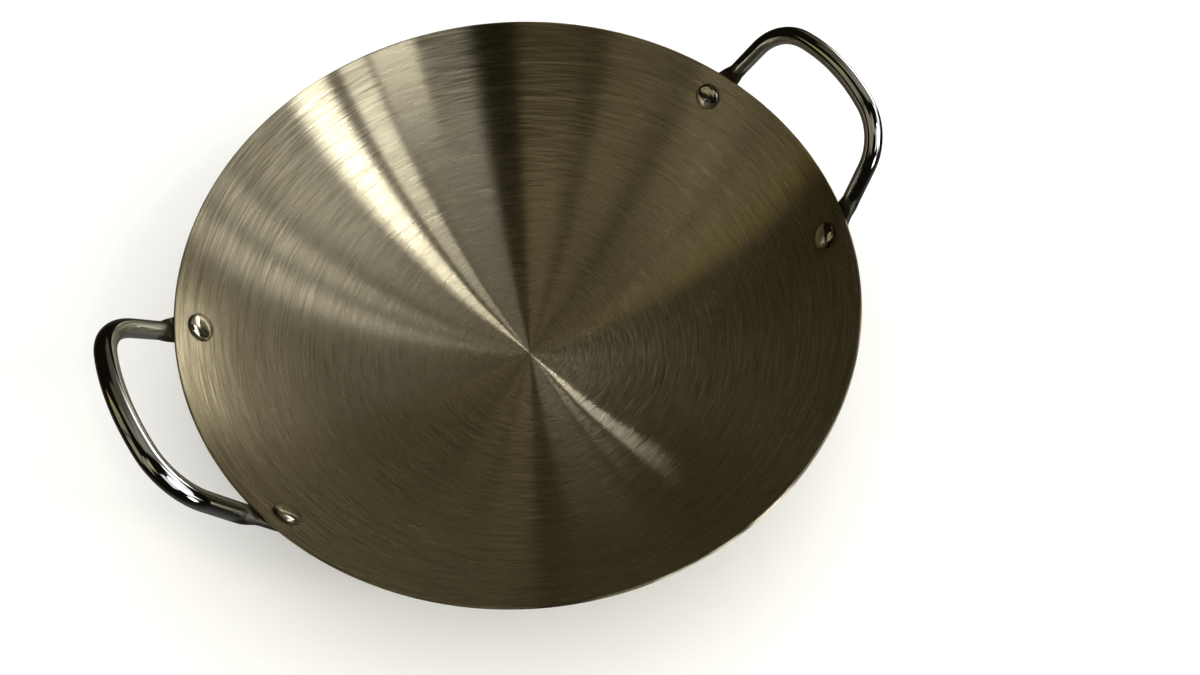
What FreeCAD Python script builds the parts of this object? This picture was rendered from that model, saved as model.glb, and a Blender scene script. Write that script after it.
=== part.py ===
import FreeCAD, Part
import math, os

# Two-handled cooking pan: a spun stainless bowl, two bent round-bar handles
# and four solid rivets.  Millimetres, +Z up.  Origin at the centre of the flat
# base, on the surface the pan stands on.  +X points to the right-hand handle.

V = FreeCAD.Vector

# ---------------------------------------------------------------- dimensions
RIM_R = 150.0          # outside radius of the rim
SHEET = 1.2            # bowl sheet thickness
BASE_R = 30.0          # radius of the flat base
BASE_BLEND = 80.0      # radius of the soft bend around the base (inner face)
BLEND_ANGLE = 15.0     # wall slope where the soft bend ends, from horizontal
RIM_ANGLE = 64.0       # wall slope at the rim, from horizontal

BAR_D = 8.0            # handle bar diameter
FOOT_W = 16.0          # width of the forged-flat foot
NECK_W = 10.4          # width where the foot passes the rim
FOOT_T = 3.2           # thickness of the forged-flat foot
FOOT_BELOW = 8.6       # foot end below the rivet centre
END_R = 9.2            # radius of the foot's free end
NECK_BELOW = 1.5       # the flat foot starts to turn round this far below rim level
ROUND_AT = 6.8        # along the leg from rim level: bar is fully round here
LEG_HALF = 46.8        # half the spacing of the legs at rim level
LEG_X = 145.6          # handle plane crosses rim level here
LEG_ANGLE = 13.2       # each leg leans towards the other by this much
PLANE_ANGLE = 63.5     # handle plane above horizontal
GRIP_REACH = 43.0      # grip centre line beyond rim level, along the plane
GRIP_R = 91.0          # radius of the gently bowed grip
CORNER_R = 27.0        # centre line radius of the handle corners

RIVET_HALF_ANGLE = 20.2  # rivets either side of the handle axis
RIVET_DOWN = 12.9      # rivet centre below the rim, along the wall
SHANK_D = 6.0
HOLE_D = 6.1
HEAD_D = 12.7          # head inside the bowl
HEAD_H = 2.7
TAIL_D = 10.4          # upset tail outside the foot
TAIL_H = 2.2

rad = math.radians


# ------------------------------------------------------------- bowl profile
# Wall line through the middle of the sheet is never needed: both faces are
# built from concentric arcs, so the thickness is the same everywhere.
s0, c0 = math.sin(rad(BLEND_ANGLE)), math.cos(rad(BLEND_ANGLE))
s1, c1 = math.sin(rad(RIM_ANGLE)), math.cos(rad(RIM_ANGLE))
HALF = SHEET / 2.0
# the outermost point of the rounded edge is RIM_R
RIM_MID = RIM_R - HALF                        # radius of the edge's centre
r_in_rim = RIM_MID - HALF * s1
r_in_blend = BASE_R + BASE_BLEND * s0
WALL_R = (r_in_rim - r_in_blend) / (s1 - s0)  # radius of the wall arc, inner
z_blend = SHEET + BASE_BLEND * (1 - c0)
z_in_rim = z_blend + WALL_R * (c0 - c1)
WC = (r_in_rim - WALL_R * s1, z_in_rim + WALL_R * c1)   # wall arc's centre
RIM_Z = z_in_rim - HALF * c1 + HALF           # top of the rounded edge
BC = (BASE_R, SHEET + BASE_BLEND)             # base bend's centre


def wall(angle, off):
    """Profile point (r, z) at wall slope `angle`, `off` outside the inner face."""
    a = rad(angle)
    c, r = (WC, WALL_R) if angle >= BLEND_ANGLE else (BC, BASE_BLEND)
    return c[0] + (r + off) * math.sin(a), c[1] - (r + off) * math.cos(a)


def p3(rz):
    return V(rz[0], 0, rz[1])


def arc(a, b, off):
    return Part.Arc(p3(wall(a, off)), p3(wall((a + b) / 2, off)), p3(wall(b, off))).toShape()


def line(a, b):
    return Part.LineSegment(a, b).toShape()


def revolve(edges):
    face = Part.Face(Part.Wire(edges))
    return face.revolve(V(0, 0, 0), V(0, 0, 1), 360)


eps = 1e-9
tip = V(RIM_MID + HALF * c1, 0, z_in_rim - HALF * c1 + HALF * s1)
inner_end, outer_end = p3(wall(RIM_ANGLE, 0)), p3(wall(RIM_ANGLE, SHEET))
bowl_shell = revolve([
    line(V(0, 0, 0), V(BASE_R, 0, 0)),
    arc(eps, BLEND_ANGLE - eps, SHEET),
    arc(BLEND_ANGLE, RIM_ANGLE, SHEET),
    Part.Arc(outer_end, tip, inner_end).toShape(),
    arc(RIM_ANGLE, BLEND_ANGLE, 0),
    arc(BLEND_ANGLE - eps, eps, 0),
    line(V(BASE_R, 0, SHEET), V(0, 0, SHEET)),
    line(V(0, 0, SHEET), V(0, 0, 0)),
])

# everything inside the outer face: used to seat the feet against the wall
bowl_filled = revolve([
    line(V(0, 0, 0), V(BASE_R, 0, 0)),
    arc(eps, BLEND_ANGLE - eps, SHEET),
    arc(BLEND_ANGLE, RIM_ANGLE, SHEET),
    Part.Arc(outer_end, V(RIM_R, 0, z_in_rim - HALF * c1), tip).toShape(),
    line(tip, V(0, 0, tip.z)),
    line(V(0, 0, tip.z), V(0, 0, 0)),
])


# ------------------------------------------------------------------- rivets
RIVET_SLOPE = RIM_ANGLE - math.degrees(RIVET_DOWN / WALL_R)


def wall_frame(az, slope, off):
    """Point on the wall at azimuth `az` (deg), with up-wall, round-wall and outward directions."""
    r, z = wall(slope, off)
    a, t = rad(az), rad(slope)
    ca, sa, ct, st = math.cos(a), math.sin(a), math.cos(t), math.sin(t)
    return V(r * ca, r * sa, z), V(ct * ca, ct * sa, st), V(-sa, ca, 0), V(st * ca, st * sa, -ct)


def cylinder(radius, p, d, length):
    return Part.makeCylinder(radius, length, p, d)


def turned(profile, p, axis):
    """Solid of revolution about `axis` through p; profile is (radius, along) with bulges as 3-point arcs."""
    edges = []
    for item in profile:
        pts = [V(q[0], 0, q[1]) for q in item]
        edges.append(line(*pts) if len(pts) == 2 else Part.Arc(*pts).toShape())
    s = Part.Face(Part.Wire(edges)).revolve(V(0, 0, 0), V(0, 0, 1), 360)
    s.Placement = FreeCAD.Placement(p, FreeCAD.Rotation(V(0, 0, 1), axis))
    return s


def rivet_solid(az):
    """Rivet turned about the outward wall normal; 0 is the bowl's inner face."""
    p, up, around, out = wall_frame(az, RIVET_SLOPE, 0)
    h, t, s = HEAD_D / 2, TAIL_D / 2, SHANK_D / 2
    # the wall is concave under the head, so the flat underside bears near its edge
    under = -(h * h / (2 * WALL_R) + 0.01)
    seat = SHEET + SEAT_T + 0.07                # outer face of the foot
    # upset tail: a low dome with a small flat struck on its crown
    crown = 1.5
    dome = ((t + crown) / 2 + 0.35, seat + 0.5 + (TAIL_H - 0.5) * 0.72)
    prof = [
        [(0, -HEAD_H), (h - 3.0, -HEAD_H)],                       # flat crown
        [(h - 3.0, -HEAD_H), (h - 0.9, -HEAD_H * 0.80), (h, -0.90)],  # rounded shoulder
        [(h, -0.90), (h, under)],
        [(h, under), (s, under)],
        [(s, under), (s, seat)],
        [(s, seat), (t, seat)],
        [(t, seat), (t, seat + 0.5)],
        [(t, seat + 0.5), dome, (crown, seat + TAIL_H)],
        [(crown, seat + TAIL_H), (0, seat + TAIL_H)],
        [(0, seat + TAIL_H), (0, -HEAD_H)],
    ]
    return turned(prof, p, out)


# ------------------------------------------------------------------ handles
def section(p, nrm, side, half_w, half_t, power, n=24):
    """Closed smooth outline: half_w along `side`, half_t along `nrm`; power 2 is an ellipse."""
    pts = []
    for i in range(n):
        a = 2 * math.pi * i / n
        ca, sa = math.cos(a), math.sin(a)
        x = math.copysign(abs(ca) ** (2.0 / power), ca) * half_w
        y = math.copysign(abs(sa) ** (2.0 / power), sa) * half_t
        pts.append(p + side * x + nrm * y)
    c = Part.BSplineCurve()
    c.interpolate(pts, PeriodicFlag=True)
    return Part.Wire([c.toShape()])


E_U = V(math.cos(rad(PLANE_ANGLE)), 0, math.sin(rad(PLANE_ANGLE)))
E_V = V(0, 1, 0)
EDGE_Z = z_in_rim - HALF * c1                 # rim level: centre of the rounded edge
ORIG = V(LEG_X, 0, EDGE_Z)


def plane(u, v):
    return ORIG + E_U * u + E_V * v


# Centre line in the handle plane, +v half: leg line, corner arc, bowed grip.
la = rad(LEG_ANGLE)
leg_d = (math.cos(la), -math.sin(la))
leg_n = (-math.sin(la), -math.cos(la))         # towards the handle's middle
gc = GRIP_REACH - GRIP_R                       # grip arc centre on the u axis
# corner arc centre: CORNER_R inside the leg line and inside the grip arc
bx, by = leg_n[0] * CORNER_R, LEG_HALF + leg_n[1] * CORNER_R
ex, ey = bx - gc, by
bb = leg_d[0] * ex + leg_d[1] * ey
cc = ex * ex + ey * ey - (GRIP_R - CORNER_R) ** 2
run = -bb + math.sqrt(bb * bb - cc)
kx, ky = bx + leg_d[0] * run, by + leg_d[1] * run
leg_end = (leg_d[0] * run, LEG_HALF + leg_d[1] * run)
kl = math.hypot(kx - gc, ky)
grip_end = (gc + (kx - gc) / kl * GRIP_R, ky / kl * GRIP_R)
mx = ((leg_end[0] + grip_end[0]) / 2 - kx, (leg_end[1] + grip_end[1]) / 2 - ky)
ml = math.hypot(*mx)
corner_mid = (kx + mx[0] / ml * CORNER_R, ky + mx[1] / ml * CORNER_R)

az = RIVET_HALF_ANGLE
foot_p, foot_up, foot_around, foot_out = wall_frame(az, RIVET_SLOPE, SHEET)
leg3 = E_U * leg_d[0] + E_V * leg_d[1]
to_leg = plane(0, LEG_HALF) - foot_p
foot_d = (to_leg - foot_out * to_leg.dot(foot_out)).normalize()   # along the foot, to the leg
foot_s = foot_d.cross(foot_out).normalize()
BED = 0.55                                     # foot blank starts this far inside the outer face
SEAT_T = FOOT_T - BED                          # metal left at the rivet once seated


def ease(f):
    f = min(max(f, 0.0), 1.0)
    return f * f * (3 - 2 * f)


def foot_solid():
    """Foot and flat-to-round neck of the +v leg."""
    ht = FOOT_T / 2
    mid = foot_p + foot_out * (ht - BED)
    rim_len = (EDGE_Z - mid.z) / foot_d.z       # to rim level along the foot
    sections = []
    top = rim_len - NECK_BELOW

    def half_w(s):                              # spade: full width at the rivet, narrow at the rim
        return FOOT_W / 2 + (NECK_W - FOOT_W) / 2 * ease((s - 2.0) / (rim_len - 2.0))

    for s in (-FOOT_BELOW - 2.0, 2.0, 4.0, 6.0, 8.0, 10.0, 12.0, top):
        sections.append(section(mid + foot_d * s, foot_out, foot_s, half_w(s), ht, 5.0))
    a = mid + foot_d * top
    b = plane(leg_d[0] * ROUND_AT, LEG_HALF + leg_d[1] * ROUND_AT)
    b0 = b - leg3 * 2.5
    r = BAR_D / 2 + 0.05                        # a hair over the bar, which starts inside it
    for i in range(1, 10):
        f = i / 10.0
        e = ease(f)                             # flat to round, eased at both ends
        w = half_w(top + f * (b0 - a).Length) * (1 - e) + r * e
        t, p = ht * (1 - e) + r * e, 5.0 - 3.0 * e
        # cubic from the foot's direction to the leg's
        h1, h2, h3, h4 = 2*f**3-3*f**2+1, f**3-2*f**2+f, -2*f**3+3*f**2, f**3-f**2
        L = (b0 - a).Length
        q = a * h1 + foot_d * (L * h2) + b0 * h3 + leg3 * (L * h4)
        d = (foot_d * (1 - f) + leg3 * f).normalize()
        nn = (foot_out - d * foot_out.dot(d)).normalize()
        sections.append(section(q, nn, d.cross(nn).normalize(), w, t, p))
    nn = (foot_out - leg3 * foot_out.dot(leg3)).normalize()
    for back in (2.5, 0.0):
        sections.append(section(b - leg3 * back, nn, leg3.cross(nn).normalize(), r, r, 2.0))
    s = Part.makeLoft(sections, True, True)
    # rounded free end
    cutter = Part.makeBox(40, 40, 40, V(-20, -20, -20))
    keep = cylinder(END_R, V(0, 0, -20), V(0, 0, 1), 40).fuse(
        Part.makeBox(60, 60, 40, V(-30, 0, -20)))
    end_c = mid + foot_d * (-FOOT_BELOW + END_R)
    pl = FreeCAD.Placement(FreeCAD.Matrix(
        foot_s.x, foot_d.x, foot_out.x, end_c.x,
        foot_s.y, foot_d.y, foot_out.y, end_c.y,
        foot_s.z, foot_d.z, foot_out.z, end_c.z, 0, 0, 0, 1))
    cutter = cutter.cut(keep)
    cutter.Placement = pl
    s = s.cut(cutter)
    s = s.cut(bowl_filled)
    hole = cylinder(HOLE_D / 2, wall_frame(az, RIVET_SLOPE, 0)[0] - foot_out * 5, foot_out, 20)
    return s.cut(hole)


def mirror_y(s):
    return s.mirror(V(0, 0, 0), V(0, 1, 0))


def bar_solid():
    start = (leg_d[0] * (ROUND_AT - 0.7), LEG_HALF + leg_d[1] * (ROUND_AT - 0.7))
    A, B, M, C = plane(*start), plane(*leg_end), plane(*corner_mid), plane(*grip_end)
    G = plane(GRIP_REACH, 0)
    fl = lambda q: V(q.x, -q.y, q.z)
    edges = [line(A, B), Part.Arc(B, M, C).toShape(), Part.Arc(C, G, fl(C)).toShape(),
             Part.Arc(fl(C), fl(M), fl(B)).toShape(), line(fl(B), fl(A))]
    path = Part.Wire(edges)
    circle = Part.Wire([Part.makeCircle(BAR_D / 2, A, leg3)])
    return path.makePipeShell([circle], True, False)


def one_solid(s):
    s = s.removeSplitter()
    solids = sorted(s.Solids, key=lambda q: -q.Volume)
    return solids[0]


foot = foot_solid()
handle_right = one_solid(bar_solid().fuse([foot, mirror_y(foot)]))
half_turn = FreeCAD.Placement(V(0, 0, 0), FreeCAD.Rotation(V(0, 0, 1), 180))
handle_left = handle_right.copy()
handle_left.Placement = half_turn

# ----------------------------------------------------------- holes and rivets
RIVETS = {"rivet_right_front": -az, "rivet_right_rear": az,
          "rivet_left_front": 180 + az, "rivet_left_rear": 180 - az}
bowl = bowl_shell
for name, a in RIVETS.items():
    p, up, around, out = wall_frame(a, RIVET_SLOPE, 0)
    bowl = bowl.cut(cylinder(HOLE_D / 2, p - out * 5, out, 10))
bowl = one_solid(bowl)

parts = {"bowl": bowl, "handle_right": handle_right, "handle_left": handle_left}
for name, a in RIVETS.items():
    parts[name] = rivet_solid(a)

os.makedirs("parts", exist_ok=True)
total = 0.0
for name, s in parts.items():
    assert s.isValid(), name
    bb_ = s.BoundBox
    total += s.Volume
    print("%-18s V %9.1f mm3  x %.2f..%.2f y %.2f..%.2f z %.2f..%.2f solids %d" % (
        name, s.Volume, bb_.XMin, bb_.XMax, bb_.YMin, bb_.YMax, bb_.ZMin, bb_.ZMax, len(s.Solids)))
    s.exportStep("parts/%s.step" % name)
print("rim z %.2f wall arc %.2f inner depth %.2f mass %.3f kg" % (
    RIM_Z, WALL_R, RIM_Z - SHEET, total * 7.93e-6))
print("rivet slope", round(RIVET_SLOPE, 2), "corner", leg_end, grip_end)
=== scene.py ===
import bpy, bmesh, math
from mathutils import Matrix, Vector


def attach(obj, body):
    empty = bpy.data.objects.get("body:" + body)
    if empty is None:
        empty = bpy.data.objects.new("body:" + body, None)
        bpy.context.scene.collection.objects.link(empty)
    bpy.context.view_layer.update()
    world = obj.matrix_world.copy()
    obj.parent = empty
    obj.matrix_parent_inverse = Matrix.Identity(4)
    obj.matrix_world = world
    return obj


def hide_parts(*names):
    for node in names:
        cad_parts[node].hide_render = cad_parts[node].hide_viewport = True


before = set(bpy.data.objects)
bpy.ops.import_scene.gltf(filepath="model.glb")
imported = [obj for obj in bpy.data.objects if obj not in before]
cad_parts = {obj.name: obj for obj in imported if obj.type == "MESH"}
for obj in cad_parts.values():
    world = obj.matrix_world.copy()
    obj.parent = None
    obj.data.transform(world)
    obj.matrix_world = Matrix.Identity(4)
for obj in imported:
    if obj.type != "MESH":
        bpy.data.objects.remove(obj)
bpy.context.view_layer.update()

# ------------------------------------------------------------------ sizes
# Millimetres here, metres in every mesh.  The row frame: origin in the middle
# of the flat base, +Z up, +X to the right-hand handle.
MM = 0.001
RIM_R, SHEET = 150.0, 1.2
BASE_R, BASE_BLEND, BLEND_ANGLE, RIM_ANGLE = 30.0, 80.0, 15.0, 64.0
BAR_D, FOOT_W, NECK_W, FOOT_T, FOOT_BELOW, END_R = 8.0, 16.0, 10.4, 3.2, 8.6, 9.2
NECK_BELOW, ROUND_AT = 1.5, 6.8
LEG_HALF, LEG_X, LEG_ANGLE, PLANE_ANGLE = 46.8, 145.6, 13.2, 63.5
GRIP_REACH, GRIP_R, CORNER_R = 43.0, 91.0, 27.0
RIVET_HALF_ANGLE, RIVET_DOWN = 20.2, 12.9
SHANK_D, HOLE_D, HEAD_D, HEAD_H, TAIL_D, TAIL_H = 6.0, 6.1, 12.7, 2.7, 10.4, 2.2
BED = 0.55

rad, sin, cos, pi = math.radians, math.sin, math.cos, math.pi


def ease(f):
    f = min(max(f, 0.0), 1.0)
    return f * f * (3 - 2 * f)


s0, c0, s1, c1 = sin(rad(BLEND_ANGLE)), cos(rad(BLEND_ANGLE)), sin(rad(RIM_ANGLE)), cos(rad(RIM_ANGLE))
HALF = SHEET / 2
RIM_MID = RIM_R - HALF
r_in_rim = RIM_MID - HALF * s1
WALL_R = (r_in_rim - BASE_R - BASE_BLEND * s0) / (s1 - s0)
z_in_rim = SHEET + BASE_BLEND * (1 - c0) + WALL_R * (c0 - c1)
WC = (r_in_rim - WALL_R * s1, z_in_rim + WALL_R * c1)
EDGE_Z = z_in_rim - HALF * c1
RIVET_SLOPE = RIM_ANGLE - math.degrees(RIVET_DOWN / WALL_R)


def wall(angle, off):
    a = rad(angle)
    if angle >= BLEND_ANGLE:
        return WC[0] + (WALL_R + off) * sin(a), WC[1] - (WALL_R + off) * cos(a)
    return BASE_R + (BASE_BLEND + off) * sin(a), SHEET + BASE_BLEND - (BASE_BLEND + off) * cos(a)


def wall_frame(az, slope, off):
    r, z = wall(slope, off)
    a, t = rad(az), rad(slope)
    ca, sa, ct, st = cos(a), sin(a), cos(t), sin(t)
    return (Vector((r * ca, r * sa, z)), Vector((ct * ca, ct * sa, st)),
            Vector((-sa, ca, 0)), Vector((st * ca, st * sa, -ct)))


# ------------------------------------------------------------ mesh helpers
def new_object(name, mesh):
    ob = bpy.data.objects.new(name, mesh)
    bpy.context.scene.collection.objects.link(ob)
    return ob


def mesh_from(name, verts, faces, uvs=None):
    me = bpy.data.meshes.new(name)
    me.from_pydata([tuple(c * MM for c in v) for v in verts], [], faces)
    if uvs:
        layer = me.uv_layers.new(name="surface")
        for poly in me.polygons:
            for li in poly.loop_indices:
                layer.data[li].uv = uvs(poly, li, me.loops[li].vertex_index)
    me.validate()
    for p in me.polygons:
        p.use_smooth = True
    return me


def drill(ob, holes):
    """Cuts round holes (centre, axis, radius, length in mm) into a mesh and keeps the result."""
    cutters = []
    for c, d, r, l in holes:
        n = 48
        ax = d.normalized()
        u = ax.orthogonal().normalized()
        w = ax.cross(u)
        vs, fs = [], []
        for k in (-0.5, 0.5):
            for i in range(n):
                a = 2 * pi * i / n
                vs.append(c + ax * (l * k) + u * (r * cos(a)) + w * (r * sin(a)))
        for i in range(n):
            j = (i + 1) % n
            fs.append((i, j, n + j, n + i))
        fs.append(tuple(reversed(range(n))))
        fs.append(tuple(range(n, 2 * n)))
        m = mesh_from("cutter", vs, fs)
        o = new_object("cutter", m)
        cutters.append(o)
        mod = ob.modifiers.new("hole", "BOOLEAN")
        mod.operation, mod.object, mod.solver = "DIFFERENCE", o, "EXACT"
    dg = bpy.context.evaluated_depsgraph_get()
    dg.update()
    me = bpy.data.meshes.new_from_object(ob.evaluated_get(dg))
    old = ob.data
    ob.modifiers.clear()
    ob.data = me
    bpy.data.meshes.remove(old)
    for o in cutters:
        m = o.data
        bpy.data.objects.remove(o)
        bpy.data.meshes.remove(m)
    for p in ob.data.polygons:
        p.use_smooth = True
    ob.data.set_sharp_from_angle(angle=rad(38))


# -------------------------------------------------------------------- bowl
def bowl_profile():
    """(r, z, side) from the middle of the inside, over the rim, to the middle of the base."""
    pts = [(0.0, SHEET)]
    for i in range(1, 9):
        pts.append((BASE_R * i / 8, SHEET))
    for i in range(1, 11):
        pts.append(wall(BLEND_ANGLE * i / 10, 0))
    n = 64
    for i in range(1, n + 1):
        pts.append(wall(BLEND_ANGLE + (RIM_ANGLE - BLEND_ANGLE) * i / n, 0))
    # rolled-over burr-free edge: half round from the inner to the outer face
    for i in range(1, 8):
        a = pi * i / 8
        up, out = (c1, s1), (s1, -c1)
        cx, cz = RIM_MID, EDGE_Z
        pts.append((cx - HALF * cos(a) * out[0] + HALF * sin(a) * up[0],
                    cz - HALF * cos(a) * out[1] + HALF * sin(a) * up[1]))
    for i in range(0, n):
        pts.append(wall(RIM_ANGLE - (RIM_ANGLE - BLEND_ANGLE) * i / n, SHEET))
    for i in range(0, 10):
        pts.append(wall(BLEND_ANGLE * (1 - i / 10), SHEET))
    for i in range(0, 8):
        pts.append((BASE_R * (1 - i / 8), 0.0))
    pts.append((0.0, 0.0))
    return pts


def lathe(name, profile, frame_=None, seg=360, wobble=None):
    """Spins (radius, along) about an axis; ends on the axis become fans."""
    if frame_ is None:
        o, ax, ex, ey = Vector((0, 0, 0)), Vector((0, 0, 1)), Vector((1, 0, 0)), Vector((0, 1, 0))
    else:
        o, ax, ex, ey = frame_
    verts, rings, along = [], [], [0.0]
    for k in range(1, len(profile)):
        along.append(along[-1] + math.hypot(profile[k][0] - profile[k - 1][0], profile[k][1] - profile[k - 1][1]))
    for k, (r, z) in enumerate(profile):
        if r < 1e-9:
            rings.append([len(verts)])
            verts.append(o + ax * z)
            continue
        ring = []
        for i in range(seg):
            a = 2 * pi * i / seg
            dz = wobble(r, z, a) if wobble else 0.0
            ring.append(len(verts))
            verts.append(o + ax * (z + dz) + ex * (r * cos(a)) + ey * (r * sin(a)))
        rings.append(ring)
    faces, keys = [], []
    for k in range(len(rings) - 1):
        A, B = rings[k], rings[k + 1]
        for i in range(seg):
            j = (i + 1) % seg
            if len(A) == 1:
                faces.append((A[0], B[i], B[j]))
                keys.append(((k, i + 0.5), (k + 1, i), (k + 1, i + 1)))
            elif len(B) == 1:
                faces.append((A[i], B[0], A[j]))
                keys.append(((k, i), (k + 1, i + 0.5), (k, i + 1)))
            else:
                faces.append((A[i], B[i], B[j], A[j]))
                keys.append(((k, i), (k + 1, i), (k + 1, i + 1), (k, i + 1)))
    me = bpy.data.meshes.new(name)
    me.from_pydata([tuple(v * MM) for v in verts], [], faces)
    layer = me.uv_layers.new(name="surface")
    total = max(along[-1], 1e-6)
    uv = []
    for key in keys:
        for k, i in key:
            uv.extend((i / seg, along[k] / total))
    layer.data.foreach_set("uv", uv)
    for p in me.polygons:
        p.use_smooth = True
    me.validate()
    return me


bowl = new_object("bowl_shell", lathe("bowl_shell", bowl_profile()))
rivet_azimuths = {"rivet_right_front": -RIVET_HALF_ANGLE, "rivet_right_rear": RIVET_HALF_ANGLE,
                  "rivet_left_front": 180 + RIVET_HALF_ANGLE, "rivet_left_rear": 180 - RIVET_HALF_ANGLE}
holes = []
for a in rivet_azimuths.values():
    p, up, around, out = wall_frame(a, RIVET_SLOPE, SHEET / 2)
    holes.append((p, out, HOLE_D / 2, 8.0))
drill(bowl, holes)


# ------------------------------------------------------------------ rivets
def rivet_profile():
    h, t, s = HEAD_D / 2, TAIL_D / 2, SHANK_D / 2
    under = -(h * h / (2 * WALL_R) + 0.01)
    seat = SHEET + FOOT_T - BED + 0.07
    pts = [(0.0, -HEAD_H)]
    # crown: nearly flat, falling away into a full round shoulder
    n = 26
    for i in range(1, n + 1):
        x = h * sin(pi / 2 * i / n)
        f = x / h
        drop = (1 - (1 - f ** 3.0) ** (1 / 2.2)) * (HEAD_H - 0.75)
        pts.append((x, -HEAD_H + 0.10 * f * f + drop * 0.94))
    edge = pts[-1][1]
    for i in range(1, 6):                        # small radius down to the underside
        a = pi / 2 * i / 5
        e = 0.22
        pts.append((h - e + e * cos(a), min(under, edge + (under - edge) * (i / 5))))
    pts.append((s + 0.25, under))
    for i in range(1, 4):
        a = pi / 2 * i / 3
        pts.append((s + 0.25 - 0.25 * sin(a), under + 0.25 - 0.25 * cos(a)))
    pts.append((s, seat - 0.2))
    pts.append((s, seat))
    pts.append((t - 0.25, seat))
    for i in range(1, 5):
        a = pi / 2 * i / 4
        pts.append((t - 0.25 + 0.25 * sin(a), seat + 0.25 - 0.25 * cos(a)))
    n = 18
    for i in range(1, n):
        f = i / n
        x = t * cos(pi / 2 * f)
        pts.append((x, seat + 0.25 + (TAIL_H - 0.25) * sin(pi / 2 * f) ** 0.85))
    pts.append((0.0, seat + TAIL_H))
    return pts


rivets = {}
for k, (name, az) in enumerate(rivet_azimuths.items()):
    p, up, around, out = wall_frame(az, RIVET_SLOPE, 0)
    fr = (p, out, up, out.cross(up))

    def wob(r, z, a, k=k):
        # struck by hand tools: the crown is a touch out of level and oval
        if z > -0.5:
            return 0.0
        f = min(r / (HEAD_D / 2), 1.0)
        return (0.10 * f * cos(a + 1.3 + 2.1 * k) + 0.045 * f * f * cos(2 * a + 0.7 * k)
                + 0.02 * f * f * cos(3 * a + 1.9 * k)) * (1 - f ** 6)
    rivets[name] = new_object(name.replace("rivet", "solid_rivet"), lathe(name, rivet_profile(), fr, 96, wob))

# ----------------------------------------------------------------- handles
E_U = Vector((cos(rad(PLANE_ANGLE)), 0, sin(rad(PLANE_ANGLE))))
E_V = Vector((0, 1, 0))
ORIG = Vector((LEG_X, 0, EDGE_Z))


def plane(u, v):
    return ORIG + E_U * u + E_V * v


la = rad(LEG_ANGLE)
leg_d = (cos(la), -sin(la))
leg_n = (-sin(la), -cos(la))
gc = GRIP_REACH - GRIP_R
bx, by = leg_n[0] * CORNER_R, LEG_HALF + leg_n[1] * CORNER_R
ex_, ey_ = bx - gc, by
bb = leg_d[0] * ex_ + leg_d[1] * ey_
cc = ex_ * ex_ + ey_ * ey_ - (GRIP_R - CORNER_R) ** 2
run = -bb + math.sqrt(bb * bb - cc)
kx, ky = bx + leg_d[0] * run, by + leg_d[1] * run
a_leg = math.atan2(leg_d[0] * run - kx, LEG_HALF + leg_d[1] * run - ky)     # angle from +v
a_grip = math.atan2(kx - gc, ky)

foot_p, foot_up, foot_around, foot_out = wall_frame(RIVET_HALF_ANGLE, RIVET_SLOPE, SHEET)
leg3 = (E_U * leg_d[0] + E_V * leg_d[1]).normalized()
to_leg = plane(0, LEG_HALF) - foot_p
foot_d = (to_leg - foot_out * to_leg.dot(foot_out)).normalized()
foot_s = foot_d.cross(foot_out).normalized()


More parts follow.
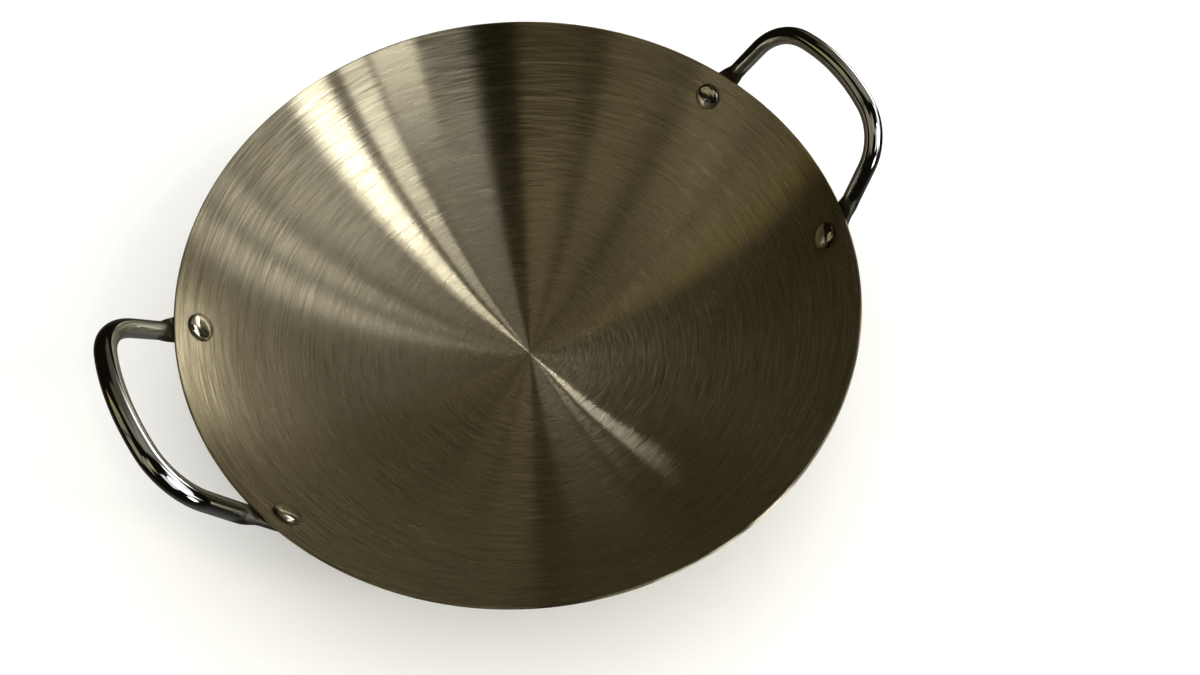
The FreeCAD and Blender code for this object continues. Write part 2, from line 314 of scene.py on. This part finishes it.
def half_handle():
    """Rings (centre, normal, side, half width, half thickness, power) from the foot's tip to the grip's middle."""
    ht = FOOT_T / 2
    mid = foot_p + foot_out * (ht - BED)
    rim_len = (EDGE_Z - mid.z) / foot_d.z
    top = rim_len - NECK_BELOW
    edge = 0.9                                   # rounding of the forged tip

    def half_w(s):
        return FOOT_W / 2 + (NECK_W - FOOT_W) / 2 * ease((s - 2.0) / (rim_len - 2.0))

    rings = []
    ss = []
    n = 22
    for i in range(n + 1):                       # cosine spacing into the tip
        ss.append(-FOOT_BELOW + 9.0 * (1 - cos(pi / 2 * i / n)))
    s = ss[-1]
    while s < top - 0.9:
        s += 0.8
        ss.append(s)
    ss.append(top)
    for s in ss:
        d = s + FOOT_BELOW
        w = half_w(s)
        if d < END_R:
            w = min(w, math.sqrt(max(END_R ** 2 - (END_R - d) ** 2, 0.0)))
            # soften the corner where the round end meets the sides
            k = max(0.0, 1 - abs(d - 4.6) / 3.0)
            w -= 0.22 * k * k
        t = ht
        if d < edge:
            t = ht - edge + math.sqrt(max(edge ** 2 - (edge - d) ** 2, 0.0))
        rings.append((mid + foot_d * s, foot_out, foot_s, max(w, 0.02), max(t, 0.3), 5.0))
    a = mid + foot_d * top
    b0 = plane(leg_d[0] * (ROUND_AT - 2.5), LEG_HALF + leg_d[1] * (ROUND_AT - 2.5))
    L = (b0 - a).length
    r = BAR_D / 2
    N = 16
    for i in range(1, N + 1):
        f = i / N
        e = ease(f)
        w = half_w(top + f * L) * (1 - e) + r * e
        t, p = ht * (1 - e) + r * e, 5.0 - 3.0 * e
        h1, h2, h3, h4 = 2*f**3-3*f**2+1, f**3-2*f**2+f, -2*f**3+3*f**2, f**3-f**2
        q = a * h1 + foot_d * (L * h2) + b0 * h3 + leg3 * (L * h4)
        d = (foot_d * (1 - f) + leg3 * f).normalized()
        nn = (foot_out - d * foot_out.dot(d)).normalized()
        rings.append((q, nn, d.cross(nn).normalized(), w, t, p))
    # round bar: the frame turns back to the handle plane's own normal
    start = ROUND_AT - 2.5
    path = []
    m = 10
    for i in range(1, m + 1):
        l = start + (run - start) * i / m
        path.append(((leg_d[0] * l, LEG_HALF + leg_d[1] * l), leg_d))
    m = 44
    for i in range(1, m + 1):
        a_ = a_leg + (a_grip - a_leg) * i / m
        path.append(((kx + CORNER_R * sin(a_), ky + CORNER_R * cos(a_)), (cos(a_), -sin(a_))))
    m = 36
    for i in range(1, m + 1):
        a_ = a_grip + (pi / 2 - a_grip) * i / m
        path.append(((gc + GRIP_R * sin(a_), GRIP_R * cos(a_)), (cos(a_), -sin(a_))))
    nprev = rings[-1][1]
    for (u, v), (du, dv) in path:
        d = (E_U * du + E_V * dv).normalized()
        nn = (nprev - d * nprev.dot(d)).normalized()
        nprev = nn
        rings.append((plane(u, v), nn, d.cross(nn).normalized(), r, r, 2.0))
    return rings


def seat_on_wall(p):
    """Pushes a point out along the foot's normal until it clears the bowl's outer face and edge."""
    r = math.hypot(p.x, p.y)
    if p.z <= EDGE_Z + 0.2:
        q = (r - WC[0], p.z - WC[1])
        d = math.hypot(*q) - (WALL_R + SHEET)
        n = Vector((p.x / r * q[0], p.y / r * q[0], q[1])).normalized()
    else:
        q = (r - RIM_MID, p.z - EDGE_Z)
        d = math.hypot(*q) - HALF
        n = Vector((p.x / r * q[0], p.y / r * q[0], q[1])).normalized()
    if d < 0.02:
        side = Vector((foot_out.x, abs(foot_out.y) * (1 if p.y > 0 else -1), foot_out.z))
        p = p + side * ((0.02 - d) / max(n.dot(side), 0.3))
    return p


def handle_mesh(name):
    NP = 80
    half = half_handle()
    rings = []
    for q, nn, sd, w, t, pw in half:
        ring = []
        for i in range(NP):
            a = 2 * pi * i / NP
            ca, sa = cos(a), sin(a)
            x = math.copysign(abs(ca) ** (2 / pw), ca) * w
            y = math.copysign(abs(sa) ** (2 / pw), sa) * t
            p = q + sd * x + nn * y
            if q.z < EDGE_Z + 3.5:
                p = seat_on_wall(p)
            ring.append(p)
        rings.append(ring)
    # the other half is the mirror image, met ring by ring at the middle of the grip
    other = [[Vector((p.x, -p.y, p.z)) for p in ring] for ring in reversed(rings[:-1])]
    rings += other
    verts, faces = [], []
    for ring in rings:
        verts.extend(ring)
    for k in range(len(rings) - 1):
        for i in range(NP):
            j = (i + 1) % NP
            faces.append((k * NP + i, k * NP + j, (k + 1) * NP + j, (k + 1) * NP + i))
    # tips: fans
    c0_ = len(verts)
    verts.append(sum(rings[0], Vector()) / NP)
    verts.append(sum(rings[-1], Vector()) / NP)
    e = (len(rings) - 1) * NP
    for i in range(NP):
        j = (i + 1) % NP
        faces.append((c0_, j, i))
        faces.append((c0_ + 1, e + i, e + j))
    nr = len(rings)

    def uvs(poly, li, vi):
        if vi >= c0_:
            return (0.5, 0.0 if vi == c0_ else 1.0)
        k, i = divmod(vi, NP)
        vs = [v for v in poly.vertices if v < c0_]
        wrap = any(v % NP == 0 for v in vs) and any(v % NP == NP - 1 for v in vs)
        return ((i + (NP if wrap and i == 0 else 0)) / NP, k / nr)
    me = mesh_from(name, verts, faces, uvs)
    bm = bmesh.new()
    bm.from_mesh(me)
    bmesh.ops.recalc_face_normals(bm, faces=bm.faces)
    bm.to_mesh(me)
    bm.free()
    return me


def turned_half(me):
    m = me.copy()
    for v in m.vertices:
        v.co = Vector((-v.co.x, -v.co.y, v.co.z))
    return m


right_mesh = handle_mesh("handle_bar")
handle_right = new_object("handle_bar_right", right_mesh)
hole_list = []
for sgn in (-1, 1):
    p, up, around, out = wall_frame(sgn * RIVET_HALF_ANGLE, RIVET_SLOPE, SHEET + 1.5)
    hole_list.append((p, out, HOLE_D / 2, 9.0))
drill(handle_right, hole_list)
handle_left = new_object("handle_bar_left", turned_half(handle_right.data))

# --------------------------------------------------------------- materials
def material(name):
    m = bpy.data.materials.new(name)
    m.use_nodes = True
    nt = m.node_tree
    bsdf = nt.nodes["Principled BSDF"]
    return m, nt, bsdf


def N(nt, kind, **kw):
    n = nt.nodes.new(kind)
    for k, v in kw.items():
        if k in n.inputs:
            n.inputs[k].default_value = v
        else:
            setattr(n, k, v)
    return n


def math_node(nt, op, a, b=None, c=None, clamp=False):
    n = nt.nodes.new("ShaderNodeMath")
    n.operation, n.use_clamp = op, clamp
    for i, v in enumerate((a, b, c)):
        if v is None:
            continue
        if isinstance(v, (int, float)):
            n.inputs[i].default_value = v
        else:
            nt.links.new(v, n.inputs[i])
    return n.outputs[0]


def polar(nt, cx=0.0, cy=0.0):
    """radius (m) and unit direction about the pan's axis, from object coordinates."""
    tc = nt.nodes.new("ShaderNodeTexCoord")
    sp = nt.nodes.new("ShaderNodeSeparateXYZ")
    nt.links.new(tc.outputs["Object"], sp.inputs[0])
    x, y = sp.outputs[0], sp.outputs[1]
    if cx or cy:
        x, y = math_node(nt, "SUBTRACT", x, cx), math_node(nt, "SUBTRACT", y, cy)
    r2 = math_node(nt, "ADD", math_node(nt, "MULTIPLY", x, x), math_node(nt, "MULTIPLY", y, y))
    r = math_node(nt, "SQRT", math_node(nt, "ADD", r2, 1e-8))
    return tc, r, math_node(nt, "DIVIDE", x, r), math_node(nt, "DIVIDE", y, r), sp.outputs[2]


def combine(nt, x, y, z):
    n = nt.nodes.new("ShaderNodeCombineXYZ")
    for i, v in enumerate((x, y, z)):
        if isinstance(v, (int, float)):
            n.inputs[i].default_value = v
        else:
            nt.links.new(v, n.inputs[i])
    return n.outputs[0]


def noise(nt, vec, scale, detail=3.0, rough=0.5, dist=0.0):
    n = nt.nodes.new("ShaderNodeTexNoise")
    n.inputs["Scale"].default_value = scale
    n.inputs["Detail"].default_value = detail
    n.inputs["Roughness"].default_value = rough
    n.inputs["Distortion"].default_value = dist
    nt.links.new(vec, n.inputs["Vector"])
    return n.outputs["Fac"]


def ramp(nt, fac, stops):
    n = nt.nodes.new("ShaderNodeValToRGB")
    cr = n.color_ramp
    while len(cr.elements) > 1:
        cr.elements.remove(cr.elements[0])
    cr.elements[0].position, cr.elements[0].color = stops[0][0], stops[0][1]
    for p, c in stops[1:]:
        e = cr.elements.new(p)
        e.color = c
    nt.links.new(fac, n.inputs[0])
    return n.outputs[0]


def g(v):
    return (v, v, v, 1.0)


def vmath(nt, op, a, b=None, scale=None):
    n = nt.nodes.new("ShaderNodeVectorMath")
    n.operation = op
    for i, v in ((0, a), (1, b)):
        if v is None:
            continue
        if isinstance(v, (tuple, list)):
            n.inputs[i].default_value = v
        else:
            nt.links.new(v, n.inputs[i])
    if scale is not None:
        if isinstance(scale, (int, float)):
            n.inputs["Scale"].default_value = scale
        else:
            nt.links.new(scale, n.inputs["Scale"])
    return n.outputs[0]


def centred(nt, fac, gain):
    return math_node(nt, "MULTIPLY", math_node(nt, "SUBTRACT", fac, 0.5), gain)


def brushed_bowl():
    m, nt, b = material("circular_brushed_steel")
    b.inputs["Metallic"].default_value = 1.0
    b.inputs["Anisotropic"].default_value = 1.0
    b.inputs["Anisotropic Rotation"].default_value = 0.25
    tan = nt.nodes.new("ShaderNodeTangent")
    tan.direction_type, tan.axis = "RADIAL", "Z"
    nt.links.new(tan.outputs[0], b.inputs["Tangent"])
    geo = nt.nodes.new("ShaderNodeNewGeometry")
    tc, r, cx, cy, z = polar(nt)
    # distance along the profile rises faster than the radius near the rim
    along = math_node(nt, "ADD", r, math_node(nt, "MULTIPLY", z, 0.6))

    def lines(per_m, around, detail, rough_=0.55, rr=along, ax=cx, ay=cy):
        return noise(nt, combine(nt, math_node(nt, "MULTIPLY", rr, per_m), math_node(nt, "MULTIPLY", ax, around), math_node(nt, "MULTIPLY", ay, around)), 1.0, detail, rough_)

    # grinding marks: hair-fine across, long around, in several sizes of grit
    hair = lines(4200.0, 6.0, 2.0, 0.6)
    fine = lines(2100.0, 6.0, 2.0, 0.65)
    hatch = lines(1150.0, 5.0, 1.0, 0.6)
    mid = lines(300.0, 3.0, 3.0, 0.6)
    # later passes whose centres sit a little off the pan's axis
    tc2, r2, cx2, cy2, z2 = polar(nt, 0.0045, -0.0030)
    off = lines(1400.0, 4.0, 1.0, 0.6, r2, cx2, cy2)
    tc3, r3, cx3, cy3, z3 = polar(nt, -0.0060, 0.0050)
    off2 = lines(900.0, 4.0, 1.0, 0.6, r3, cx3, cy3)
    h = math_node(nt, "ADD", math_node(nt, "MULTIPLY", fine, 0.28), math_node(nt, "ADD", math_node(nt, "MULTIPLY", hatch, 0.34), math_node(nt, "ADD", math_node(nt, "MULTIPLY", off, 0.20), math_node(nt, "MULTIPLY", off2, 0.18))))
    # each mark tips the surface across its own direction, never along it
    slope = math_node(nt, "ADD", centred(nt, hair, 0.30), math_node(nt, "ADD", centred(nt, fine, 0.45), math_node(nt, "ADD", centred(nt, hatch, 0.95), centred(nt, off, 0.60))))
    across = vmath(nt, "NORMALIZE", vmath(nt, "CROSS_PRODUCT", tan.outputs[0], geo.outputs["Normal"]))
    nrm = vmath(nt, "NORMALIZE", vmath(nt, "ADD", geo.outputs["Normal"], vmath(nt, "SCALE", across, None, slope)))
    nt.links.new(nrm, b.inputs["Normal"])
    # and runs a degree or two off the true circle, so the streaks have ragged edges
    wander = math_node(nt, "ADD", centred(nt, hatch, 0.055), centred(nt, fine, 0.045))
    tan_w = vmath(nt, "NORMALIZE", vmath(nt, "ADD", tan.outputs[0], vmath(nt, "SCALE", across, None, wander)))
    col = ramp(nt, h, [(0.38, (0.45, 0.405, 0.315, 1)), (0.465, (0.56, 0.515, 0.405, 1)), (0.535, (0.62, 0.57, 0.455, 1)), (0.62, (0.72, 0.67, 0.55, 1))])
    # faint warm and cool patches left by polishing and handling
    patch = noise(nt, tc.outputs["Object"], 14.0, 3.0, 0.5)
    mix = nt.nodes.new("ShaderNodeMix")
    mix.data_type = "RGBA"
    mix.blend_type = "MULTIPLY"
    mix.inputs["Factor"].default_value = 1.0
    nt.links.new(col, mix.inputs["A"])
    nt.links.new(ramp(nt, patch, [(0.32, (0.96, 0.95, 0.91, 1)), (0.68, (1.0, 1.0, 1.0, 1))]), mix.inputs["B"])
    nt.links.new(mix.outputs["Result"], b.inputs["Base Color"])
    nt.links.new(ramp(nt, mid, [(0.30, g(0.22)), (0.70, g(0.30))]), b.inputs["Roughness"])
    # the ground face scatters far across the marks and hardly at all along them
    gl = nt.nodes.new("ShaderNodeBsdfAnisotropic")
    gl.distribution = "GGX"
    gl.inputs["Anisotropy"].default_value = 0.90
    nt.links.new(tan_w, gl.inputs["Tangent"])
    nt.links.new(nrm, gl.inputs["Normal"])
    nt.links.new(mix.outputs["Result"], gl.inputs["Color"])
    nt.links.new(ramp(nt, mid, [(0.30, g(0.265)), (0.70, g(0.295))]), gl.inputs["Roughness"])
    ms = nt.nodes.new("ShaderNodeMixShader")
    ms.inputs[0].default_value = 0.75
    nt.links.new(b.outputs[0], ms.inputs[1])
    nt.links.new(gl.outputs[0], ms.inputs[2])
    nt.links.new(ms.outputs[0], nt.nodes["Material Output"].inputs["Surface"])
    return m


def polished_bar():
    m, nt, b = material("mirror_polished_steel")
    b.inputs["Metallic"].default_value = 1.0
    tc = nt.nodes.new("ShaderNodeTexCoord")
    n1 = noise(nt, tc.outputs["Object"], 240.0, 4.0, 0.6)
    n2 = noise(nt, tc.outputs["Object"], 45.0, 2.0, 0.5)
    # the forged feet and necks keep a duller skin than the buffed bar; their near-black colour below the rim is partly
    # that skin and partly painted shade where the legs meet the bowl
    sp = nt.nodes.new("ShaderNodeSeparateXYZ")
    nt.links.new(tc.outputs["Object"], sp.inputs[0])
    foot_skin_and_shade = nt.nodes.new("ShaderNodeMapRange")
    foot_skin_and_shade.interpolation_type = "SMOOTHSTEP"
    foot_skin_and_shade.inputs["From Min"].default_value, foot_skin_and_shade.inputs["From Max"].default_value = (EDGE_Z + 9.0) * MM, (EDGE_Z + 4.5) * MM
    nt.links.new(sp.outputs[2], foot_skin_and_shade.inputs["Value"])
    bare = ramp(nt, n2, [(0.3, (0.50, 0.525, 0.585, 1)), (0.7, (0.56, 0.585, 0.645, 1))])
    grime_and_shade_mix = nt.nodes.new("ShaderNodeMix")
    grime_and_shade_mix.data_type = "RGBA"
    # near-black colour near the rim: painted shade at the joint of leg and bowl, with some darker forged skin
    grime_and_shade_mix.inputs["B"].default_value = (0.075, 0.07, 0.06, 1)
    nt.links.new(bare, grime_and_shade_mix.inputs["A"])
    nt.links.new(foot_skin_and_shade.outputs[0], grime_and_shade_mix.inputs["Factor"])
    nt.links.new(grime_and_shade_mix.outputs["Result"], b.inputs["Base Color"])
    rr = math_node(nt, "ADD", math_node(nt, "MULTIPLY", n1, 0.04), math_node(nt, "ADD", math_node(nt, "MULTIPLY", foot_skin_and_shade.outputs[0], 0.36), 0.03))
    nt.links.new(rr, b.inputs["Roughness"])
    bump = nt.nodes.new("ShaderNodeBump")
    bump.inputs["Strength"].default_value = 0.015
    bump.inputs["Distance"].default_value = 0.0002
    nt.links.new(n2, bump.inputs["Height"])
    nt.links.new(bump.outputs[0], b.inputs["Normal"])
    return m


def polished_rivet():
    m, nt, b = material("polished_rivet_steel")
    b.inputs["Metallic"].default_value = 1.0
    tc = nt.nodes.new("ShaderNodeTexCoord")
    n1 = noise(nt, tc.outputs["Object"], 900.0, 3.0, 0.6)
    n2 = noise(nt, tc.outputs["Object"], 260.0, 2.0, 0.5)
    col = ramp(nt, n1, [(0.3, (0.55, 0.53, 0.48, 1)), (0.7, (0.63, 0.61, 0.56, 1))])
    # the shoulder of the head and the groove under it hold a dark line: painted shade where the head meets the bowl,
    # with a little grime
    prof = rivet_profile()
    along = [0.0]
    for p, q in zip(prof, prof[1:]):
        along.append(along[-1] + math.hypot(q[0] - p[0], q[1] - p[1]))
    k0 = next(k for k, p in enumerate(prof) if p[0] > HEAD_D / 2 * 0.86)
    v0 = along[k0] / along[-1]
    uvn = nt.nodes.new("ShaderNodeUVMap")
    uvn.uv_map = "surface"
    spv = nt.nodes.new("ShaderNodeSeparateXYZ")
    nt.links.new(uvn.outputs[0], spv.inputs[0])
    ragged = math_node(nt, "ADD", spv.outputs[1], centred(nt, noise(nt, tc.outputs["Object"], 420.0, 2.0, 0.5), 0.05))
    edge = nt.nodes.new("ShaderNodeMapRange")
    edge.interpolation_type = "SMOOTHSTEP"
    edge.inputs["From Min"].default_value, edge.inputs["From Max"].default_value = v0, v0 + 0.045
    nt.links.new(ragged, edge.inputs["Value"])
    upto = nt.nodes.new("ShaderNodeMapRange")
    upto.inputs["From Min"].default_value, upto.inputs["From Max"].default_value = 0.60, 0.55
    nt.links.new(spv.outputs[1], upto.inputs["Value"])
    shade_and_grime = math_node(nt, "MULTIPLY", edge.outputs[0], upto.outputs[0])
    grime_and_shade_mix = nt.nodes.new("ShaderNodeMix")
    grime_and_shade_mix.data_type = "RGBA"
    # dark colour round the head's shoulder: painted shade with a little grime
    grime_and_shade_mix.inputs["B"].default_value = (0.10, 0.092, 0.075, 1)
    nt.links.new(col, grime_and_shade_mix.inputs["A"])
    nt.links.new(shade_and_grime, grime_and_shade_mix.inputs["Factor"])
    nt.links.new(grime_and_shade_mix.outputs["Result"], b.inputs["Base Color"])
    rr = math_node(nt, "ADD", math_node(nt, "MULTIPLY", n1, 0.08), math_node(nt, "ADD", math_node(nt, "MULTIPLY", shade_and_grime, 0.25), 0.06))
    nt.links.new(rr, b.inputs["Roughness"])
    bump = nt.nodes.new("ShaderNodeBump")
    bump.inputs["Strength"].default_value = 0.35
    bump.inputs["Distance"].default_value = 0.00015
    nt.links.new(n2, bump.inputs["Height"])
    nt.links.new(bump.outputs[0], b.inputs["Normal"])
    return m


steel = brushed_bowl()
bar_mat = polished_bar()
rivet_mat = polished_rivet()
bowl.data.materials.clear()
bowl.data.materials.append(steel)
for h in (handle_right, handle_left):
    h.data.materials.clear()
    h.data.materials.append(bar_mat)
for o in rivets.values():
    o.data.materials.append(rivet_mat)

# ----------------------------------------------------------- what rides what
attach(bowl, "root")
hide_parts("bowl")
for o, node in ((handle_right, "handle_right"), (handle_left, "handle_left")):
    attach(o, "root")
    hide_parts(node)
for name, o in rivets.items():
    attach(o, "root")
    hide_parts(name)

# ------------------------------------------------------------------- floor
fm, fnt, fb = material("pale_floor")
fb.inputs["Base Color"].default_value = (0.88, 0.88, 0.87, 1)
fb.inputs["Roughness"].default_value = 0.9
fb.inputs["Specular IOR Level"].default_value = 0.1
fme = bpy.data.meshes.new("floor")
S = 6.0
fme.from_pydata([(-S, -S, 0), (S, -S, 0), (S, S, 0), (-S, S, 0)], [], [(0, 1, 2, 3)])
floor = new_object("floor", fme)
fme.materials.append(fm)

# a pale sweep round the floor's edge, which only shows as background
sweep = [(5.0, -0.002)] + [(5.0 + 0.9 * sin(pi / 2 * i / 12), 0.9 - 0.9 * cos(pi / 2 * i / 12)) for i in range(1, 13)] + [(5.9, 9.0)]
sv, sf, seg = [], [], 96
for r_, z_ in sweep:
    for i in range(seg):
        a_ = 2 * pi * i / seg
        sv.append((r_ * cos(a_), r_ * sin(a_), z_))
for k in range(len(sweep) - 1):
    for i in range(seg):
        j = (i + 1) % seg
        sf.append((k * seg + i, (k + 1) * seg + i, (k + 1) * seg + j, k * seg + j))
bme = bpy.data.meshes.new("backdrop")
bme.from_pydata(sv, [], sf)
for p in bme.polygons:
    p.use_smooth = True
bm_, bnt, bb_ = material("pale_backdrop")
bb_.inputs["Base Color"].default_value = (0, 0, 0, 1)
bb_.inputs["Roughness"].default_value = 1.0
bb_.inputs["Specular IOR Level"].default_value = 0.0
bb_.inputs["Emission Color"].default_value = (0.80, 0.79, 0.76, 1)
bb_.inputs["Emission Strength"].default_value = 1.0
bme.materials.append(bm_)
backdrop = new_object("backdrop", bme)
for flag in ("visible_diffuse", "visible_glossy", "visible_transmission", "visible_shadow", "visible_volume_scatter"):
    setattr(backdrop, flag, False)

# ------------------------------------------------------------------ camera
# View frame: x right, y away, z up, about the rim's centre; the handles sit
# TURN degrees round from its x axis.
TURN = 30.95
F_PX = 958.9
EYE = Vector((0.1712, -1.5361, 2.3948)) * 0.150
RIGHT = Vector((0.99971, 0.01142, 0.0213))
NRM = Vector((0.024, -0.477, -0.879))


def to_row(v):
    a = rad(-TURN)
    return Vector((v.x * cos(a) - v.y * sin(a), v.x * sin(a) + v.y * cos(a), v.z))


def view_axes(n):
    n = n.normalized()
    e1 = Vector((1, 0, 0)) - n * n.x
    e1.normalize()
    e2 = n.cross(e1)
    # columns e1, e2, n carry pan axes into the camera's frame; rows give the reverse
    right = Vector((e1.x, e2.x, n.x))
    down = Vector((e1.y, e2.y, n.y))
    fwd = Vector((e1.z, e2.z, n.z))
    return right, -down, -fwd


right, up_, back = (to_row(v) for v in view_axes(NRM))
eye = to_row(EYE) + Vector((0, 0, EDGE_Z * MM))
cam_data = bpy.data.cameras.new("camera")
cam_data.sensor_fit = "HORIZONTAL"
cam_data.sensor_width = 36.0
cam_data.lens = F_PX / 1200.0 * 36.0
cam_data.clip_start = 0.01
cam = bpy.data.objects.new("camera", cam_data)
bpy.context.scene.collection.objects.link(cam)
cam.matrix_world = Matrix(((right.x, up_.x, back.x, eye.x), (right.y, up_.y, back.y, eye.y),
                           (right.z, up_.z, back.z, eye.z), (0, 0, 0, 1)))
bpy.context.scene.camera = cam

# ------------------------------------------------------------------ lights
# A dim room round the pan with soft window panels, given as directions in the
# view frame: azimuth from its x axis, elevation above the rim.
world = bpy.data.worlds.new("studio")
bpy.context.scene.world = world
world.use_nodes = True
wt = world.node_tree
wtc = wt.nodes.new("ShaderNodeTexCoord")
turn = wt.nodes.new("ShaderNodeMapping")
turn.inputs["Rotation"].default_value = (0, 0, rad(TURN))
wt.links.new(wtc.outputs["Generated"], turn.inputs["Vector"])
wsep = wt.nodes.new("ShaderNodeSeparateXYZ")
wt.links.new(turn.outputs[0], wsep.inputs[0])
AZ = math_node(wt, "MULTIPLY", math_node(wt, "ARCTAN2", wsep.outputs[1], wsep.outputs[0]), 180 / pi)
AZ_BEHIND = math_node(wt, "MULTIPLY", math_node(wt, "ARCTAN2", math_node(wt, "MULTIPLY", wsep.outputs[1], -1.0), math_node(wt, "MULTIPLY", wsep.outputs[0], -1.0)), 180 / pi)
EL = math_node(wt, "MULTIPLY", math_node(wt, "ARCSINE", wsep.outputs[2]), 180 / pi)


def step(value, a, b):
    n = wt.nodes.new("ShaderNodeMapRange")
    n.interpolation_type = "SMOOTHSTEP"
    wt.links.new(value, n.inputs["Value"])
    n.inputs["From Min"].default_value, n.inputs["From Max"].default_value = a, b
    return n.outputs[0]


sky = None


def glow(mask, color, strength):
    global sky
    c = tuple(v * strength for v in color)
    if mask is None:
        n = wt.nodes.new("ShaderNodeCombineXYZ")
        for i in range(3):
            n.inputs[i].default_value = c[i]
        term = n.outputs[0]
    else:
        term = vmath(wt, "SCALE", c, None, mask)
    sky = term if sky is None else vmath(wt, "ADD", sky, term)


def window(az0, az1, el0, el1, color, strength, soft_az=1.0, soft_el=3.0, lean=0.0, behind=False):
    """A panel between two azimuths and two elevations; lean moves it round per degree of height."""
    base = AZ_BEHIND if behind else AZ
    az = base if not lean else math_node(wt, "SUBTRACT", base, math_node(wt, "MULTIPLY", math_node(wt, "SUBTRACT", EL, (el0 + el1) / 2), lean))
    m = math_node(wt, "MULTIPLY", step(az, az0 - soft_az, az0 + soft_az), step(az, az1 + soft_az, az1 - soft_az))
    m = math_node(wt, "MULTIPLY", m, math_node(wt, "MULTIPLY", step(EL, el0 - soft_el, el0 + soft_el), step(EL, el1 + soft_el, el1 - soft_el)))
    glow(m, color, strength)


def strip(streak, lo, hi, along0, along1, color, strength, soft=0.012, soft_along=0.06):
    """A slanting panel whose reflection in the bowl stays on one azimuth: lo..hi across it, along0..along1 along it."""
    a = rad(streak - 90)
    x, y = wsep.outputs[0], wsep.outputs[1]
    across_ = math_node(wt, "ADD", math_node(wt, "MULTIPLY", x, cos(a)), math_node(wt, "MULTIPLY", y, sin(a)))
    along_ = math_node(wt, "ADD", math_node(wt, "MULTIPLY", x, sin(a)), math_node(wt, "MULTIPLY", y, -cos(a)))
    m = math_node(wt, "MULTIPLY", step(across_, lo - soft, lo + soft), step(across_, hi + soft, hi - soft))
    m = math_node(wt, "MULTIPLY", m, math_node(wt, "MULTIPLY", step(along_, along0 - soft_along, along0 + soft_along), step(along_, along1 + soft_along, along1 - soft_along)))
    m = math_node(wt, "MULTIPLY", m, step(wsep.outputs[2], -0.02, 0.12))
    glow(m, color, strength)


DAY, WARM, LAMP = (1.0, 0.985, 0.89), (1.0, 0.87, 0.55), (1.0, 0.93, 0.76)
glow(None, (1.0, 0.76, 0.36), 0.008)
glow(step(EL, -5, -60), (1.0, 0.97, 0.90), 0.12)                 # light coming back off the floor
strip(138, 0.206, 0.372, 0.79, 0.93, DAY, 4.9, soft_along=0.03)  # two window panes with a post between
strip(138, 0.206, 0.384, 0.71, 0.79, DAY, 6.6, soft_along=0.02)
strip(138, 0.214, 0.324, 0.61, 0.71, DAY, 22.0, soft_along=0.02)
strip(127, 0.172, 0.290, 0.64, 0.93, DAY, 4.8)
window(-58.0, -45.0, 0, 11, DAY, 10.0)                           # low pane
window(38.0, 58.0, -2, 6, LAMP, 13.0, soft_az=9.0, soft_el=2)    # low bright band seen past the far rim
window(34.0, 64.0, 4, 15, LAMP, 1.5, soft_az=8.0, soft_el=3)
window(9.0, 16.5, 18, 38, DAY, 1.75, soft_az=1.5, soft_el=1.5, lean=0.1)
window(20.5, 28.0, 18, 38, DAY, 1.75, soft_az=1.5, soft_el=1.5, lean=0.1)
window(-14.0, 32.0, 14, 38, DAY, 0.95, soft_az=6.0, soft_el=1.5) # the wall round the windows
window(-25.0, 4.0, 14, 46, DAY, 0.85, soft_az=3.0, soft_el=1.5)
window(32.0, 60.0, 12, 30, DAY, 0.22, soft_az=6.0, soft_el=1.5)
window(32.0, 66.0, 36, 66, DAY, 0.22, soft_az=8.0, soft_el=1.5)
window(32.0, 92.0, 8, 50, WARM, 0.10, soft_az=8.0, soft_el=1.5)
window(-72.0, -41.0, 28, 56, DAY, 1.25, soft_az=4.0, soft_el=1.5)
window(40.0, 130.0, 50, 62, WARM, 0.115, soft_az=12.0, soft_el=1.5)
window(40.0, 130.0, 62, 80, WARM, 0.27, soft_az=12.0, soft_el=1.5)
window(-2.0, 11.0, 15, 55, WARM, 0.30, soft_az=3.0, soft_el=1.5, behind=True)
window(14.0, 36.0, 15, 48, WARM, 0.38, soft_az=3.0, soft_el=1.5, behind=True)
window(38.0, 62.0, 25, 62, WARM, 0.36, soft_az=3.0, soft_el=1.5, behind=True)
window(62.0, 90.0, 50, 76, WARM, 0.56, soft_az=4.0, soft_el=1.5, behind=True)
window(-9.0, -2.0, 18, 52, (1.0, 0.80, 0.30), 0.46, soft_az=1.5, soft_el=1.5, behind=True)
bg = wt.nodes["Background"]
wt.links.new(sky, bg.inputs["Color"])

# one soft overhead panel that only the floor receives
top_data = bpy.data.lights.new("floor_softbox", "AREA")
top_data.shape, top_data.size, top_data.energy = "SQUARE", 5.0, 150.0
top = bpy.data.objects.new("floor_softbox", top_data)
bpy.context.scene.collection.objects.link(top)
top.location = (0, 0, 3.0)
floor_only = bpy.data.collections.new("floor_only")
bpy.context.scene.collection.children.link(floor_only)
floor_only.objects.link(floor)
top.light_linking.receiver_collection = floor_only
floor.visible_glossy = False

bpy.context.scene.view_settings.view_transform = "Standard"
bpy.context.scene.view_settings.look = "None"
